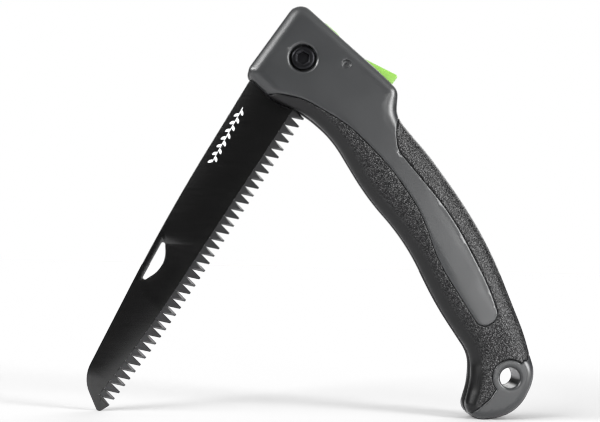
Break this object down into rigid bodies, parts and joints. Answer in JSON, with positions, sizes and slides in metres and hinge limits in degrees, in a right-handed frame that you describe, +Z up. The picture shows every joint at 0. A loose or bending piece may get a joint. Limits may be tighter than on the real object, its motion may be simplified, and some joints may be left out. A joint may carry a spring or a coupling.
{
  "type": "folding pruning saw",
  "caption": "Curved-handle folding pruning saw: tapered toothed blade on a socket-head pivot bolt, rubber grip, thumb lock lever and hanging hole.",
  "frame": {"origin": "centre of the footprint at floor level, under the saw standing half folded on its blade tip and the end of its handle", "axes": "+Z up, blade and handle in the XZ plane with the blade towards -X, the bolt head's side faces -Y"},
  "size_m": [0.2298, 0.022, 0.2107],
  "materials": {
    "grey_moulding": "satin moulded dark grey plastic",
    "black_rubber": "black soft-touch rubber with a leather grain",
    "coated_steel": "satin black coating, ground tooth bevels",
    "black_oxide": "black oxide",
    "steel": "bright zinc",
    "lime_nylon": "lime green moulded nylon"
  },
  "bodies": {
    "handle": {"handle_core": "grey_moulding", "grip_overmould": "black_rubber", "pivot_bolt": "black_oxide", "pivot_nut": "black_oxide", "pivot_bush": "steel", "thrust_washer_near": "steel", "thrust_washer_far": "steel", "spring_washer": "steel", "lever_pin": "steel", "lever_spring": "steel"},
    "blade": {"blade": "coated_steel"},
    "lever": {"lock_lever": "lime_nylon"}
  },
  "joints": [
    {"name": "blade_pivot", "type": "hinge", "parent": "handle", "child": "blade", "pos_m": [-0.00932, 0, 0.18339], "axis": [0, 1, 0], "range_deg": [-59.1, 102.9]},
    {"name": "lever_rock", "type": "hinge", "parent": "handle", "child": "lever", "pos_m": [0.01321, 0, 0.18116], "axis": [0, 1, 0], "range_deg": [0, 3], "stiffness_Nm_per_rad": 0.18, "springref_deg": -14.32, "deforming": ["lever_spring"]}
  ]
}
